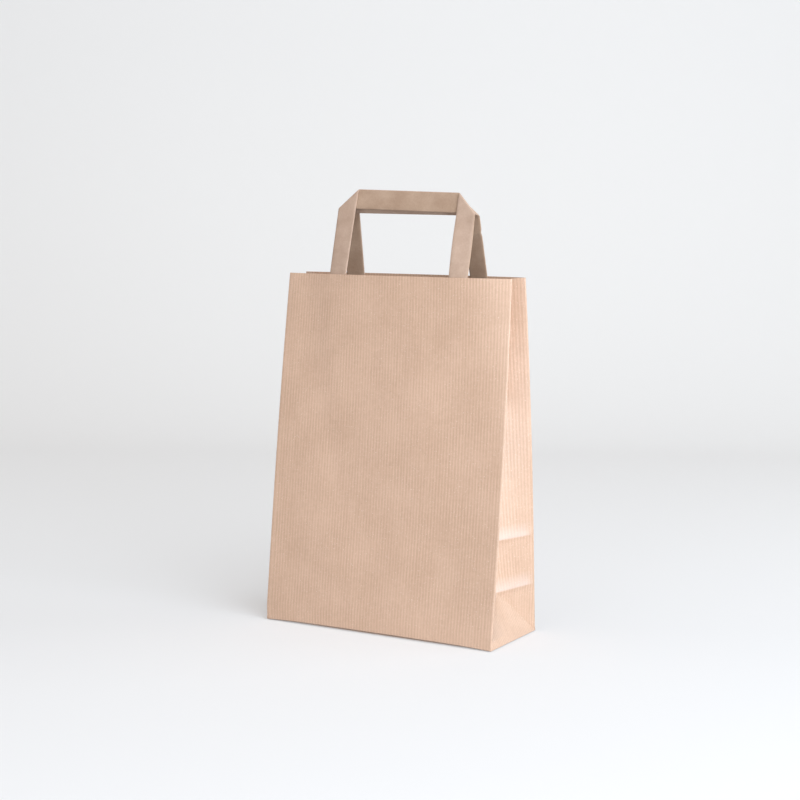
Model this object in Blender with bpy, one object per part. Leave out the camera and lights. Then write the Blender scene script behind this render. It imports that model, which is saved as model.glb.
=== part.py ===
# Kraft paper carrier bag with folded tape handles.
# Metres, +Z up, front panel towards -Y, origin under the middle of the base.
import math
from collections import namedtuple

import bmesh
import bpy
from mathutils import Vector

# Sheet and folds of the bag
WIDTH = 0.220  # base, left to right
DEPTH = 0.086  # base, front to back, and the flat width of each side gusset
PANEL_HEIGHT = 0.305  # along the paper, from the base fold to the cut edge
PAPER = 0.0003  # one layer of kraft
FOLD_RADIUS = 0.0009  # outside of a pressed upright fold
FOLD_RUN_IN = 0.004  # height over which an upright fold opens out of a base corner
BASE_CHAMFER = 0.0005  # the fold round the base

# How the opened bag stands
MOUTH_WIDTH = 0.2155  # between the left and right folds at the cut edge
MOUTH_DEPTH = 0.028  # between the front and back folds at the cut edge
MOUTH_SHIFT = 0.0024  # the mouth stands behind the middle of the base
MOUTH_BULGE = 0.0082  # a cut edge bows out
BULGE_POWER = 2.6  # how fast that dies away below the cut edge
FRONT_LEFT_POWER = 1.7  # the front panel falls away evenly towards its left fold
FRONT_RIGHT_POWER = 3.6  # and turns back late and more sharply towards its right fold
BACK_POWER = 2.0  # the back panel bows evenly
EDGE_BOW = 0.0008  # the upright folds bow out sideways at half height
LEFT_SWELL = 0.0013  # the left side stands out a little further just above the base
SWELL_START = 0.012  # height over which that swell sets in
PANEL_HOLLOW = 0.0014  # the middle of a panel sinks in at half height
CREASE_LIFT = 0.0007  # ridge left by the flat-pack creases across a gusset
CREASE_SPREAD = 0.007  # how far the paper is bent on each side of such a crease

# Glued laps
FLAP_LAP = 0.024  # the two long base flaps overlap by this much
SEAM_LAP = 0.015  # the upright seam that closes the tube
SEAM_INSET = 0.014  # from the left fold of the back panel to the seam

# Tape handles and their patches
TAPE_WIDTH = 0.0172
TAPE_THICKNESS = 0.0011  # several layers of paper, glued flat
TAPE_FOLD_GAP = 0.0002  # between the layers at a 45 degree fold
LEG_SPACING = 0.1145  # centre to centre of the two legs at the bar
LEG_TUCK = 0.046  # length glued inside the panel
BEND_START = -0.010  # the tape leaves the panel here, measured from the cut edge
BEND_LENGTH = 0.014
MEETING_Y = 0.0  # the tops of the two handles lean together here
HANDLE_CLEARANCE = 0.0010  # between the two handles at their tops
PATCH_MARGIN = 0.010  # beyond the outer edges of the two legs
PATCH_HEIGHT = 0.042
PATCH_DROP = 0.012  # from the cut edge down to the patch
PATCH_RAMP = 0.004  # the patch rises over a leg's edge within this width
SEAT_GAP = 0.0003  # glue line between separate pieces
PATCH_WIDTH = LEG_SPACING + TAPE_WIDTH + 2 * PATCH_MARGIN

# How each handle was glued and has settled. Its rise is the top of its bar over the cut edge along
# the tape, its shift is to the right, its drop is that of the bar over the leg spacing, and its
# splay is how far each leg stands out sideways at the cut edge.
FRONT_RISE = 0.0733
FRONT_SHIFT = 0.0031
FRONT_DROP = 0.0034
FRONT_SPLAY = 0.0012
BACK_RISE = 0.0708
BACK_SHIFT = 0.0012
BACK_DROP = 0.0014
BACK_SPLAY = 0.0032

# The two sides of the bag, as the sign of their place in y
FRONT = -1
BACK = 1
Handle = namedtuple("Handle", "name side rise shift drop splay")
FRONT_HANDLE = Handle("front", FRONT, FRONT_RISE, FRONT_SHIFT, FRONT_DROP, FRONT_SPLAY)
BACK_HANDLE = Handle("back", BACK, BACK_RISE, BACK_SHIFT, BACK_DROP, BACK_SPLAY)

# Mesh resolution
PANEL_COLUMNS = 16
HALF_COLUMNS = 4
CORNER_STEPS = 4
APEX_ROWS = 6
UPPER_ROWS = 18
TAPE_FOLD_STEPS = 8
PATCH_ROWS = 4
SHARP_ANGLE = math.radians(30)
SINK = 0.0001  # overlap of shapes that a union joins

FLOOR_Z = 2 * PAPER
FOOT_Z = FLOOR_Z + BASE_CHAMFER
APEX_HEIGHT = DEPTH / 2


def clear_scene():
    for item in list(bpy.data.objects):
        bpy.data.objects.remove(item, do_unlink=True)


def paper_material(name, colour, roughness):
    material = bpy.data.materials.new(name)
    material.use_nodes = True
    shader = material.node_tree.nodes["Principled BSDF"]
    shader.inputs["Base Color"].default_value = (*colour, 1.0)
    shader.inputs["Roughness"].default_value = roughness
    shader.inputs["Metallic"].default_value = 0.0
    return material


def add_object(name, bm, material=None):
    mesh = bpy.data.meshes.new(name)
    bm.to_mesh(mesh)
    bm.free()
    mesh.shade_smooth()
    mesh.set_sharp_from_angle(angle=SHARP_ANGLE)
    item = bpy.data.objects.new(name, mesh)
    bpy.context.collection.objects.link(item)
    if material:
        mesh.materials.append(material)
    return item


def join_helper(target, helper):
    helper.hide_render = True
    helper.display_type = "WIRE"
    union = target.modifiers.new(helper.name, "BOOLEAN")
    union.operation = "UNION"
    union.solver = "EXACT"
    union.object = helper


def share(height):
    return height / PANEL_HEIGHT


def edge_x(height):
    t = share(height)
    return (WIDTH + (MOUTH_WIDTH - WIDTH) * t**3) / 2 + EDGE_BOW * math.sin(math.pi * t)


def left_swell(height):
    return LEFT_SWELL * (1 - share(height)) ** 2 * min(1.0, height / SWELL_START)


def edge_y(height, side):
    base = side * DEPTH / 2
    mouth = side * MOUTH_DEPTH / 2 + MOUTH_SHIFT
    return base + (mouth - base) * share(height)


def edge_z(height, side):
    lean = (DEPTH - MOUTH_DEPTH) / 2 - side * MOUTH_SHIFT
    return FOOT_Z + height * math.sqrt(1 - (lean / PANEL_HEIGHT) ** 2)


def bow(height):
    t = share(height)
    return MOUTH_BULGE * t**BULGE_POWER - PANEL_HOLLOW * math.sin(math.pi * t)


# The shape of the bow across a panel, from 0 at one fold through 1 to 0 at the other
def bow_across(x_share, side):
    power = BACK_POWER
    if side == FRONT:
        power = FRONT_RIGHT_POWER if x_share > 0 else FRONT_LEFT_POWER
    return 1 - abs(x_share) ** power


def panel_point(x_share, height, side, lift=0.0):
    x = x_share * edge_x(height) - (1 - x_share) / 2 * left_swell(height)
    out = bow(height) * bow_across(x_share, side) + lift
    return Vector((x, edge_y(height, side) + side * out, edge_z(height, side)))


def crease_lift(height):
    lift = 0.0
    for crease in (APEX_HEIGHT, DEPTH):
        lift += CREASE_LIFT * max(0.0, 1 - abs(height - crease) / CREASE_SPREAD)
    return lift


# A gusset is one flat sheet as wide as the base is deep. With the mouth nearly shut it folds
# inwards, and the depth of the fold follows from the sheet's fixed half width.
def fold_depth(height):
    half_chord = (edge_y(height, BACK) - edge_y(height, FRONT)) / 2
    return math.sqrt((DEPTH / 2) ** 2 - half_chord**2)


def middle_y(height):
    return (edge_y(height, BACK) + edge_y(height, FRONT)) / 2


# Above the apex the inward fold is one upright crease. Below it, two diagonal creases run to the
# base corners, and the triangle between them faces outwards.
def crease_point(height, side):
    apex_depth = fold_depth(APEX_HEIGHT)
    apex_z = math.sqrt(APEX_HEIGHT**2 - apex_depth**2)
    if height < APEX_HEIGHT:
        k = height / APEX_HEIGHT
        y = side * DEPTH / 2 * (1 - k) + middle_y(APEX_HEIGHT) * k
        return Vector((edge_x(height) - apex_depth * k, y, FOOT_Z + apex_z * k))
    run = (edge_x(APEX_HEIGHT) - apex_depth) - (edge_x(PANEL_HEIGHT) - fold_depth(PANEL_HEIGHT))
    rise = math.sqrt(1 - (run / (PANEL_HEIGHT - APEX_HEIGHT)) ** 2)
    z = FOOT_Z + apex_z + (height - APEX_HEIGHT) * rise
    return Vector((edge_x(height) - fold_depth(height), middle_y(height), z))


def gusset_half(height, side):
    radius = FOLD_RADIUS * min(1.0, height / FOLD_RUN_IN)
    edge = Vector((edge_x(height), edge_y(height, side), edge_z(height, side)))
    crease = crease_point(height, side)
    slant = math.atan2(edge.x - crease.x, abs(edge.y - crease.y))
    outward = Vector((math.cos(slant), -side * math.sin(slant), 0.0))
    centre = edge - Vector((radius, side * radius, 0.0))
    points = []
    for step in range(CORNER_STEPS + 1):
        angle = side * (math.pi / 2 - (math.pi / 2 + slant) * step / CORNER_STEPS)
        points.append(centre + radius * Vector((math.cos(angle), math.sin(angle), 0.0)))
    if height >= APEX_HEIGHT:
        crease += FOLD_RADIUS * (Vector((1.0, 0.0, 0.0)) - outward)
    start = points[-1]
    for column in range(1, HALF_COLUMNS + 1):
        point = start.lerp(crease, column / HALF_COLUMNS)
        points.append(point + outward * crease_lift(height))
    return points


def right_side(height):
    near = gusset_half(height, FRONT)
    far = gusset_half(height, BACK)
    middle = (crease_point(height, FRONT) + crease_point(height, BACK)) / 2
    middle.x += crease_lift(height)
    return near + [middle] + far[::-1]


def ring(height):
    shares = [-1 + 2 * k / PANEL_COLUMNS for k in range(1, PANEL_COLUMNS)]
    front = [panel_point(u, height, FRONT) for u in shares]
    back = [panel_point(-u, height, BACK) for u in shares]
    right = right_side(height)
    left = [Vector((-p.x - left_swell(height), p.y, p.z)) for p in right[::-1]]
    return front + right + back + left


def row_heights():
    heights = [APEX_HEIGHT * k / APEX_ROWS for k in range(APEX_ROWS + 1)]
    step = (PANEL_HEIGHT - APEX_HEIGHT) / UPPER_ROWS
    heights += [APEX_HEIGHT + step * k for k in range(1, UPPER_ROWS + 1)]
    fixed = [0.0, FOLD_RUN_IN, PANEL_HEIGHT]
    for crease in (APEX_HEIGHT, DEPTH):
        fixed += [crease - CREASE_SPREAD, crease, crease + CREASE_SPREAD]
    free = [h for h in heights if min(abs(h - f) for f in fixed) > CREASE_SPREAD / 2]
    return sorted(free + fixed)


def skin(bm, rows):
    for low, high in zip(rows, rows[1:]):
        for k in range(len(low)):
            j = (k + 1) % len(low)
            bm.faces.new((low[k], low[j], high[j], high[k]))


def outer_sheet():
    bm = bmesh.new()
    foot = ring(0.0)
    reach = Vector((WIDTH / 2 - BASE_CHAMFER, DEPTH / 2 - BASE_CHAMFER, 0.0))
    base = []
    for p in foot:
        x = max(-reach.x, min(reach.x, p.x))
        y = max(-reach.y, min(reach.y, p.y))
        base.append(Vector((x, y, FLOOR_Z)))
    rings = [base] + [ring(height) for height in row_heights()]
    rows = [[bm.verts.new(p) for p in points] for points in rings]
    skin(bm, rows)
    bmesh.ops.remove_doubles(bm, verts=bm.verts, dist=1e-7)
    rim = [e for e in bm.edges if e.is_boundary and all(abs(v.co.z - FLOOR_Z) < 1e-6 for v in e.verts)]
    bmesh.ops.holes_fill(bm, edges=rim, sides=0)
    bmesh.ops.recalc_face_normals(bm, faces=bm.faces)
    floor = min(bm.faces, key=lambda f: f.calc_center_median().z)
    if floor.normal.z > 0:
        bmesh.ops.reverse_faces(bm, faces=bm.faces)
    return bm


def prism(name, outline, low, high):
    bm = bmesh.new()
    face = bm.faces.new([bm.verts.new((x, y, low)) for x, y in outline])
    moved = bmesh.ops.extrude_face_region(bm, geom=[face])["geom"]
    top = [v for v in moved if isinstance(v, bmesh.types.BMVert)]
    bmesh.ops.translate(bm, verts=top, vec=(0.0, 0.0, high - low))
    bmesh.ops.recalc_face_normals(bm, faces=bm.faces)
    return add_object(name, bm)


# A base flap is cut back at 45 degrees from both base corners. It is given by the stretch that it
# covers, measured from its own fold towards the other side, and may be trimmed at both ends.
def flap_outline(side, start, stop, trim=0.0):
    near = side * (DEPTH / 2 - start)
    far = side * (DEPTH / 2 - stop)
    long_half = WIDTH / 2 - start - trim
    short_half = WIDTH / 2 - stop - trim
    return [(-long_half, near), (long_half, near), (short_half, far), (-short_half, far)]


def add_base_flaps(bag):
    reach = DEPTH / 2 + FLAP_LAP / 2
    for name, side in (("flap_front", FRONT), ("flap_back", BACK)):
        outline = flap_outline(side, BASE_CHAMFER, reach)
        join_helper(bag, prism(name, outline, PAPER, FLOOR_Z + SINK))
    lap = flap_outline(BACK, reach - FLAP_LAP, reach, SINK)
    join_helper(bag, prism("flap_lap", lap, 0.0, PAPER + SINK))


def sheet_between(bm, lower, upper):
    rows = len(lower)
    columns = len(lower[0])
    a = [[bm.verts.new(p) for p in row] for row in lower]
    b = [[bm.verts.new(p) for p in row] for row in upper]
    for i in range(rows - 1):
        for j in range(columns - 1):
            bm.faces.new((a[i][j], a[i][j + 1], a[i + 1][j + 1], a[i + 1][j]))
            bm.faces.new((b[i][j], b[i + 1][j], b[i + 1][j + 1], b[i][j + 1]))
    border = [(0, j) for j in range(columns)] + [(i, columns - 1) for i in range(1, rows)]
    border += [(rows - 1, j) for j in range(columns - 2, -1, -1)] + [(i, 0) for i in range(rows - 2, 0, -1)]
    for (i, j), (k, m) in zip(border, border[1:] + border[:1]):
        bm.faces.new((a[i][j], b[i][j], b[k][m], a[k][m]))
    bmesh.ops.recalc_face_normals(bm, faces=bm.faces)


def add_seam(bag):
    bm = bmesh.new()
    heights = row_heights()
    heights.remove(0.0)
    heights[-1] -= SINK
    inner = []
    outer = []
    for height in heights:
        start = -1 + SEAM_INSET / edge_x(height)
        stop = start + SEAM_LAP / edge_x(height)
        shares = (start, (start + stop) / 2, stop)
        inner.append([panel_point(u, height, BACK, -PAPER / 2) for u in shares])
        outer.append([panel_point(u, height, BACK, PAPER) for u in shares])
    sheet_between(bm, inner, outer)
    join_helper(bag, add_object("seam_lap", bm))


def make_bag(material):
    bag = add_object("bag_body", outer_sheet(), material)
    wall = bag.modifiers.new("paper", "SOLIDIFY")
    wall.thickness = PAPER
    wall.offset = -1.0
    wall.use_even_offset = True
    wall.use_quality_normals = True
    add_base_flaps(bag)
    add_seam(bag)


# A handle and its patch are laid out straight, in x and in height along the tape from the cut
# edge. This turns, shifts and spreads such a place to where it was glued.
def placed(handle, x, height):
    inner_edge = (LEG_SPACING - TAPE_WIDTH) / 2
    sideways = max(-1.0, min(1.0, x / inner_edge))
    spread = handle.splay * sideways * (1 - max(0.0, min(1.0, height / handle.rise)))
    slope = handle.drop / LEG_SPACING
    return x + spread + slope * height + handle.shift, height - slope * (x + spread)


# The tape runs up inside its panel, bends off it near the cut edge and leans straight towards the
# other handle. Layers are counted inwards from the one against the panel.
def tape_point(handle, x, height, layer):
    x, height = placed(handle, x, height)
    side = handle.side
    lean = handle_lean(handle)
    root_height = PANEL_HEIGHT + min(height, BEND_START)
    root = panel_point(x / edge_x(root_height), root_height, side)
    leg_root = panel_point(LEG_SPACING / 2 / edge_x(root_height), root_height, side)
    straighten = min(1.0, max(0.0, height / (handle.rise - TAPE_WIDTH)))
    y = root.y + (leg_root.y - root.y) * straighten
    bend_radius = BEND_LENGTH / lean
    turned = min(lean, max(0.0, (height - BEND_START) / bend_radius))
    free = max(0.0, height - BEND_START - BEND_LENGTH)
    inward = bend_radius * (1 - math.cos(turned)) + free * math.sin(lean)
    up = bend_radius * math.sin(turned) + free * math.cos(lean)
    inward += (PAPER + SEAT_GAP + TAPE_THICKNESS / 2 + layer) * math.cos(turned)
    up -= layer * math.sin(turned)
    return Vector((x, y - side * inward, root.z + up))


def handle_lean(handle):
    root_height = PANEL_HEIGHT + BEND_START
    root = panel_point(LEG_SPACING / 2 / edge_x(root_height), root_height, handle.side)
    stack = PAPER + SEAT_GAP + 2 * TAPE_THICKNESS + TAPE_FOLD_GAP
    travel = abs(root.y - MEETING_Y) - stack - HANDLE_CLEARANCE / 2
    return math.asin(travel / (handle.rise - BEND_START - BEND_LENGTH / 2))


# Rows across the tape of the left half of a handle, from the leg's end to the middle of the bar.
# Each row is its two end points in x and height, its layer, and the way its outer face looks.
def tape_rows(rise):
    half = TAPE_WIDTH / 2
    outer_x = -LEG_SPACING / 2 - half
    inner_x = -LEG_SPACING / 2 + half
    radius = (TAPE_THICKNESS + TAPE_FOLD_GAP) / 2
    setback = (radius + TAPE_THICKNESS / 2) * math.sqrt(2)
    leg_top = rise - TAPE_WIDTH - setback
    stops = [-LEG_TUCK, -LEG_TUCK * 0.75, -LEG_TUCK * 0.5]
    stops += [BEND_START + BEND_LENGTH * k / 4 for k in range(5)]
    stops += [leg_top * k / 4 for k in range(1, 4)]
    rows = []
    for height in stops:
        rows.append(((outer_x, height), (inner_x, height), 0.0, (0.0, 0.0, -1.0)))
    for step in range(TAPE_FOLD_STEPS + 1):
        k = step / TAPE_FOLD_STEPS
        angle = math.pi * k
        past = radius * math.sin(angle) / math.sqrt(2)
        slide = setback * k
        low = (outer_x + slide - past, leg_top + slide + past)
        high = (low[0] + TAPE_WIDTH, low[1] + TAPE_WIDTH)
        aside = math.sin(angle) / math.sqrt(2)
        rows.append((low, high, radius * (1 - math.cos(angle)), (-aside, aside, -math.cos(angle))))
    bar_x = inner_x + setback
    for k in range(1, 5):
        x = bar_x * (1 - k / 4)
        rows.append(((x, rise - TAPE_WIDTH), (x, rise), 2 * radius, (0.0, 0.0, 1.0)))
    return rows


def make_handle(handle, material):
    left = tape_rows(handle.rise)
    right = []
    for (x0, h0), (x1, h1), layer, (fx, fh, fn) in left[-2::-1]:
        right.append(((-x0, h0), (-x1, h1), layer, (-fx, fh, fn)))
    faces = {1: [], -1: []}
    for (x0, h0), (x1, h1), layer, (fx, fh, fn) in left + right:
        for way, grid in faces.items():
            reach = way * TAPE_THICKNESS / 2
            row = []
            for k in (0.0, 0.5, 1.0):
                x = x0 + (x1 - x0) * k + fx * reach
                height = h0 + (h1 - h0) * k + fh * reach
                row.append(tape_point(handle, x, height, layer + fn * reach))
            grid.append(row)
    bm = bmesh.new()
    sheet_between(bm, faces[1], faces[-1])
    add_object("handle_" + handle.name, bm, material)


# The patch is glued to the panel and rises over the two tape legs that it holds.
def patch_profile():
    inner = (LEG_SPACING - TAPE_WIDTH) / 2 - SEAT_GAP
    outer = (LEG_SPACING + TAPE_WIDTH) / 2 + SEAT_GAP
    half = [
        (0.0, 0.0),
        (inner / 2, 0.0),
        (inner - PATCH_RAMP, 0.0),
        (inner, 1.0),
        (LEG_SPACING / 2, 1.0),
        (outer, 1.0),
        (outer + PATCH_RAMP, 0.0),
        (PATCH_WIDTH / 2, 0.0),
    ]
    return [(-x, over) for x, over in half[:0:-1]] + half


def make_patch(handle, material):
    inside = []
    outside = []
    for k in range(PATCH_ROWS + 1):
        near = []
        far = []
        for x, over in patch_profile():
            x, height = placed(handle, x, -PATCH_DROP - PATCH_HEIGHT * (1 - k / PATCH_ROWS))
            height += PANEL_HEIGHT
            lift = PAPER + SEAT_GAP + over * (TAPE_THICKNESS + SEAT_GAP)
            near.append(panel_point(x / edge_x(height), height, handle.side, -lift))
            far.append(panel_point(x / edge_x(height), height, handle.side, -lift - PAPER))
        inside.append(near)
        outside.append(far)
    bm = bmesh.new()
    sheet_between(bm, inside, outside)
    add_object("handle_patch_" + handle.name, bm, material)


clear_scene()
bag_paper = paper_material("ribbed_kraft", (0.65, 0.45, 0.33), 0.75)
tape_paper = paper_material("smooth_kraft_tape", (0.52, 0.38, 0.29), 0.6)
make_bag(bag_paper)
for handle in (FRONT_HANDLE, BACK_HANDLE):
    make_handle(handle, tape_paper)
    make_patch(handle, tape_paper)
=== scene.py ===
import math
from collections import namedtuple

import bmesh
import bpy
from mathutils import Matrix, Vector, noise


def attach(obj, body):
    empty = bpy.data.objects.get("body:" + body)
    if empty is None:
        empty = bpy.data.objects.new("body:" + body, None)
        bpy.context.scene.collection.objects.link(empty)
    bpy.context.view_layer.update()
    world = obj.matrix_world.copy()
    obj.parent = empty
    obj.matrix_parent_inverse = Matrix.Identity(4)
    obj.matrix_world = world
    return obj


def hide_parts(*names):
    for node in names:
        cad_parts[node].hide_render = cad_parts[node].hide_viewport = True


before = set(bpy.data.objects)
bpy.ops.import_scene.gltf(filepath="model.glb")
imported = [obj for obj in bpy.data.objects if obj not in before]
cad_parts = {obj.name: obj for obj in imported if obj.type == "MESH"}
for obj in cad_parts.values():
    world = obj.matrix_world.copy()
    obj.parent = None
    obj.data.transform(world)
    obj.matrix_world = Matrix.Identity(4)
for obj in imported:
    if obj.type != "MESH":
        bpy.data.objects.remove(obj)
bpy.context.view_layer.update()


# The tube of the bag
# One sheet of ribbed kraft, folded round into a tube with two side gussets. The mouth stands nearly
# shut, so each gusset folds inwards, and the base is pressed square below it.

WIDTH = 0.220
DEPTH = 0.086
PANEL_HEIGHT = 0.305
PAPER = 0.0003
MOUTH_WIDTH = 0.2155
MOUTH_DEPTH = 0.028
MOUTH_SHIFT = 0.0024
EDGE_BOW = 0.0008
LEFT_SWELL = 0.0013
SWELL_START = 0.012
BASE_EDGE = 0.0005
FLOOR_Z = 2 * PAPER
FOOT_Z = FLOOR_Z + BASE_EDGE
APEX = DEPTH / 2
FRONT = -1
BACK = 1


def clamped(value):
    return max(0.0, min(1.0, value))


def eased(share):
    return share * share * (3 - 2 * share)


# A height is a distance up the paper from the base, not over the table
def edge_x(height):
    t = height / PANEL_HEIGHT
    return (WIDTH + (MOUTH_WIDTH - WIDTH) * t**3) / 2 + EDGE_BOW * math.sin(math.pi * t)


# The left side stands out a little more at the foot
def left_swell(height):
    return LEFT_SWELL * (1 - height / PANEL_HEIGHT) ** 2 * min(1.0, height / SWELL_START)


def edge_y(height, side):
    base = side * DEPTH / 2
    mouth = side * MOUTH_DEPTH / 2 + MOUTH_SHIFT
    return base + (mouth - base) * height / PANEL_HEIGHT


def edge_z(height, side):
    lean = (DEPTH - MOUTH_DEPTH) / 2 - side * MOUTH_SHIFT
    return FOOT_Z + height * math.sqrt(1 - (lean / PANEL_HEIGHT) ** 2)


# A panel bulges at the mouth and is slightly hollow below it
MOUTH_BULGE = 0.0082
BULGE_POWER = 2.6
PANEL_HOLLOW = 0.0014


def bow(height):
    t = height / PANEL_HEIGHT
    return MOUTH_BULGE * t**BULGE_POWER - PANEL_HOLLOW * math.sin(math.pi * t)


# The shape of the bow across a panel: the front one turns back more sharply at its right
FRONT_LEFT_POWER = 1.7
FRONT_RIGHT_POWER = 3.6
BACK_POWER = 2.0


def bow_across(x_share, side):
    power = BACK_POWER
    if side == FRONT:
        power = FRONT_RIGHT_POWER if x_share > 0 else FRONT_LEFT_POWER
    return 1 - abs(x_share) ** power


# Paper that has been handled is never quite flat. It has broad waves about a millimetre deep with
# small ones on them, which fade out towards the folds. They are counted per metre, across and up.
BROAD_DEPTH = 0.0009
BROAD_ACROSS = 22
BROAD_UP = 9
BROAD_SEED = 3.1
SMALL_DEPTH = 0.00022
SMALL_ACROSS = 60
SMALL_UP = 26
SMALL_SEED = 7.7
WAVE_START = 0.03


def ripple(x, height, side):
    broad = noise.noise(Vector((x * BROAD_ACROSS, height * BROAD_UP, BROAD_SEED * side)))
    small = noise.noise(Vector((x * SMALL_ACROSS, height * SMALL_UP, SMALL_SEED * side)))
    return BROAD_DEPTH * broad + SMALL_DEPTH * small


# Beside its left fold the front panel sinks slowly towards the right, then steps back up along a
# soft slanting line. Both fade out lower down.
DENT_DEPTH = 0.0008
DENT_LINE_X = -0.086
DENT_TOP = 0.29
DENT_SLANT = 0.2
DENT_RETURN = 0.022
DENT_FOOT = 0.07
DENT_FADE = 0.10


def left_dent(x, height):
    line = DENT_LINE_X + DENT_SLANT * (DENT_TOP - height)
    if x < line:
        down = (x + WIDTH / 2) / (line + WIDTH / 2)
    else:
        down = 1 - (x - line) / DENT_RETURN
    return -DENT_DEPTH * clamped((height - DENT_FOOT) / DENT_FADE) * eased(clamped(down))


# Two soft upright buckles run up from the lower fold of the front panel, left of its middle: place
# across the panel and depth
BUCKLES = ((-0.082, 0.00028), (-0.036, 0.00038))
BUCKLE_REACH = 0.0045
BUCKLE_START = 0.01
BUCKLE_HEIGHT = 0.085


def low_buckles(x, height):
    fade = min(1.0, height / BUCKLE_START) * max(0.0, 1 - height / BUCKLE_HEIGHT)
    return -fade * sum(depth * math.exp(-((x - place) / BUCKLE_REACH) ** 2) for place, depth in BUCKLES)


def panel_out(x_share, height, side):
    hold = (1 - x_share**2) * min(1.0, height / WAVE_START)
    out = bow(height) * bow_across(x_share, side)
    out += ripple(x_share * WIDTH / 2, height, side) * hold
    if side == FRONT:
        out += left_dent(x_share * WIDTH / 2, height) + low_buckles(x_share * WIDTH / 2, height)
    return out


# The lower fold of the front panel arches a little up off the table between its corners, and the
# eye sees a dark line under it
ARCH_RISE = 0.0014
ARCH_INSET = 0.0030
ARCH_FADE = 0.015
ARCH_POWER = 4


def arch(x_share, side):
    return 1 - x_share**ARCH_POWER if side == FRONT else 0.0


def panel_point(x_share, height, side, lift=0.0):
    x = x_share * edge_x(height) - (1 - x_share) / 2 * left_swell(height)
    y = edge_y(height, side) + side * (panel_out(x_share, height, side) + lift)
    raised = ARCH_RISE * arch(x_share, side) * max(0.0, 1 - height / ARCH_FADE)
    return Vector((x, y, edge_z(height, side) + raised))


# The bag was sold flat, so each gusset keeps two level creases. The paper swells out slowly down to
# a crease and drops back just below it.
CREASE_LIFT = 0.0006
CREASE_ABOVE = 0.012
CREASE_BELOW = 0.0045
CREASE_POWER = 1.6


def crease_lift(height):
    lift = 0.0
    for crease in (APEX, DEPTH):
        off = height - crease
        if off > 0:
            lift += CREASE_LIFT * max(0.0, 1 - off / CREASE_ABOVE) ** CREASE_POWER
        else:
            lift += CREASE_LIFT * eased(max(0.0, 1 + off / CREASE_BELOW))
    return lift


# Painted highlight: the paper is drawn paler just above each crease, where it faces up to the light
CREASE_HIGHLIGHT_SHARE = 0.55


def painted_crease_highlight(height):
    pale = 0.0
    for crease in (APEX, DEPTH):
        off = height - crease
        if 0 <= off < CREASE_ABOVE:
            pale += CREASE_HIGHLIGHT_SHARE * (1 - off / CREASE_ABOVE)
    return pale


def middle_y(height):
    return (edge_y(height, BACK) + edge_y(height, FRONT)) / 2


# Each half of a gusset keeps its flat width, which gives the depth that it folds in by
def fold_depth(height):
    half_chord = (edge_y(height, BACK) - edge_y(height, FRONT)) / 2
    return math.sqrt((DEPTH / 2) ** 2 - half_chord**2)


# Below the apex the inner crease parts into two, which run out to the corners of the base
def inner_crease(height, side):
    apex_depth = fold_depth(APEX)
    apex_z = math.sqrt(APEX**2 - apex_depth**2)
    if height < APEX:
        k = height / APEX
        y = side * DEPTH / 2 * (1 - k) + middle_y(APEX) * k
        return Vector((edge_x(height) - apex_depth * k, y, FOOT_Z + apex_z * k))
    run = (edge_x(APEX) - apex_depth) - (edge_x(PANEL_HEIGHT) - fold_depth(PANEL_HEIGHT))
    rise = math.sqrt(1 - (run / (PANEL_HEIGHT - APEX)) ** 2)
    z = FOOT_Z + apex_z + (height - APEX) * rise
    return Vector((edge_x(height) - fold_depth(height), middle_y(height), z))


# One half of a gusset at one height: round the fold of the panel, then in to the inner crease. The
# fold is sharp at the foot and round above it, and the paper between has small waves.
FOLD_RADIUS = 0.0009
FOLD_RUN_IN = 0.004
FOLD_STEPS = 6
HALF_STEPS = 14
GUSSET_WAVE = 0.0005
GUSSET_WAVES_UP = 30
GUSSET_WAVES_ACROSS = 1.5
GUSSET_SEED = 5.3


def gusset_half(height, side):
    radius = FOLD_RADIUS * min(1.0, height / FOLD_RUN_IN)
    edge = Vector((edge_x(height), edge_y(height, side), edge_z(height, side)))
    crease = inner_crease(height, side)
    slant = math.atan2(edge.x - crease.x, abs(edge.y - crease.y))
    outward = Vector((math.cos(slant), -side * math.sin(slant), 0.0))
    centre = edge - Vector((radius, side * radius, 0.0))
    points = []
    for step in range(FOLD_STEPS + 1):
        angle = side * (math.pi / 2 - (math.pi / 2 + slant) * step / FOLD_STEPS)
        points.append(centre + radius * Vector((math.cos(angle), math.sin(angle), 0.0)))
    if height >= APEX:
        crease += FOLD_RADIUS * (Vector((1.0, 0.0, 0.0)) - outward)
    start = points[-1]
    for step in range(1, HALF_STEPS + 1):
        k = step / HALF_STEPS
        spot = Vector((height * GUSSET_WAVES_UP, k * GUSSET_WAVES_ACROSS, GUSSET_SEED * side))
        wave = GUSSET_WAVE * noise.noise(spot)
        wave *= math.sin(math.pi * k) * min(1.0, height / WAVE_START)
        points.append(start.lerp(crease, k) + outward * (crease_lift(height) + wave))
    return points


# A ring runs once round the tube at one height. Beside each point goes its distance along the
# flat sheet, which the ribs follow.
PANEL_STEPS = 64
FOLD_TURN = 0.003


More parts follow.
